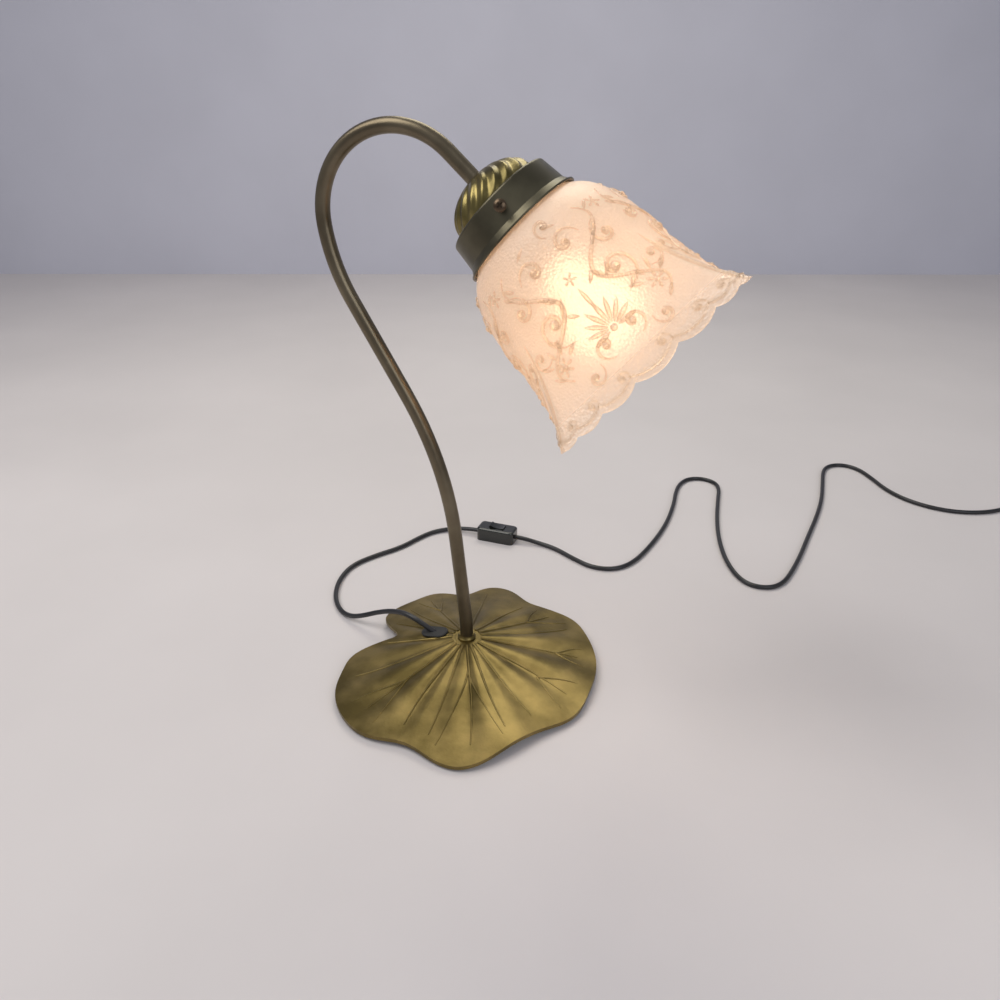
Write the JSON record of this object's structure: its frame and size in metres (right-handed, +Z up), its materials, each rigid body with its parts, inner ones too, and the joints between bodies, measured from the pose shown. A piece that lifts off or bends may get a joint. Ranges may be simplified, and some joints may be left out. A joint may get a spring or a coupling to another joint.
{
  "type": "tulip shade table lamp",
  "caption": "Swan-neck table lamp on a cast lily-leaf foot, with a square-mouthed pressed-glass shade, a metal shade holder and a corded rocker switch.",
  "frame": {"origin": "on the table, at the middle of the lamp's bounding box without its cord, switch and plug", "axes": "+Z up, +X the way the neck reaches out and the shade looks, +Y away from the side that the picture was taken from"},
  "size_m": [0.7996, 0.8008, 0.4713],
  "materials": {
    "antique_brass": "antique brass over cast metal",
    "bronze_tube": "satin antique bronze",
    "bronze_holder": "satin antique bronze",
    "brass_cap": "antique brass",
    "steel": "zinc plated",
    "dark_screw": "antique plated",
    "shade_glass": "pressed and frosted",
    "bulb_glass": "soft white",
    "socket_brass": "thin sheet",
    "bulb_metal": "plain",
    "porcelain": "insulating",
    "card": "insulating card",
    "black_rubber": "matt",
    "cord_jacket": "soft vinyl",
    "black_plastic": "glossy",
    "blade_brass": "plain"
  },
  "bodies": {
    "lamp": {"base_leaf": "antique_brass", "foot_pads": "black_rubber", "base_nipple": "steel", "base_nut": "steel", "base_washer": "steel", "stem_collar": "antique_brass", "cord_grommet": "black_rubber", "neck_tube": "bronze_tube", "inner_lead": "cord_jacket", "cap_dome": "brass_cap", "shade_holder": "bronze_holder", "head_nipple": "steel", "head_nut": "steel", "glass_shade": "shade_glass", "socket_cap": "socket_brass", "socket_shell": "socket_brass", "socket_sleeve": "card", "socket_core": "porcelain", "screw_shell": "socket_brass", "socket_contact": "socket_brass", "bulb_base": "bulb_metal", "bulb_glass": "bulb_glass", "cord_lamp_side": "cord_jacket", "cord_plug_side": "cord_jacket", "switch_lower_shell": "black_plastic", "switch_upper_shell": "black_plastic", "switch_pivot": "steel", "switch_contacts": "blade_brass", "switch_screws": "steel", "plug_body": "black_rubber", "plug_blades": "blade_brass"},
    "rocker": {"switch_rocker": "black_plastic"},
    "screw_1": {"shade_screw_1": "dark_screw"},
    "screw_2": {"shade_screw_2": "dark_screw"},
    "screw_3": {"shade_screw_3": "dark_screw"}
  },
  "joints": [
    {"name": "rocker_tilt", "type": "hinge", "parent": "lamp", "child": "rocker", "pos_m": [-0.1073, 0.2416, 0.0124], "axis": [0, 1, 0], "range_deg": [-16, 0]},
    {"name": "screw_1_draw", "type": "slide", "parent": "lamp", "child": "screw_1", "axis": [0.2289, -0.9397, 0.2542], "range_m": [0, 0.004]},
    {"name": "screw_2_draw", "type": "slide", "parent": "lamp", "child": "screw_2", "axis": [-0.659, 0.1736, -0.7319], "range_m": [0, 0.004]},
    {"name": "screw_3_draw", "type": "slide", "parent": "lamp", "child": "screw_3", "axis": [0.4301, 0.766, 0.4777], "range_m": [0, 0.004]}
  ]
}
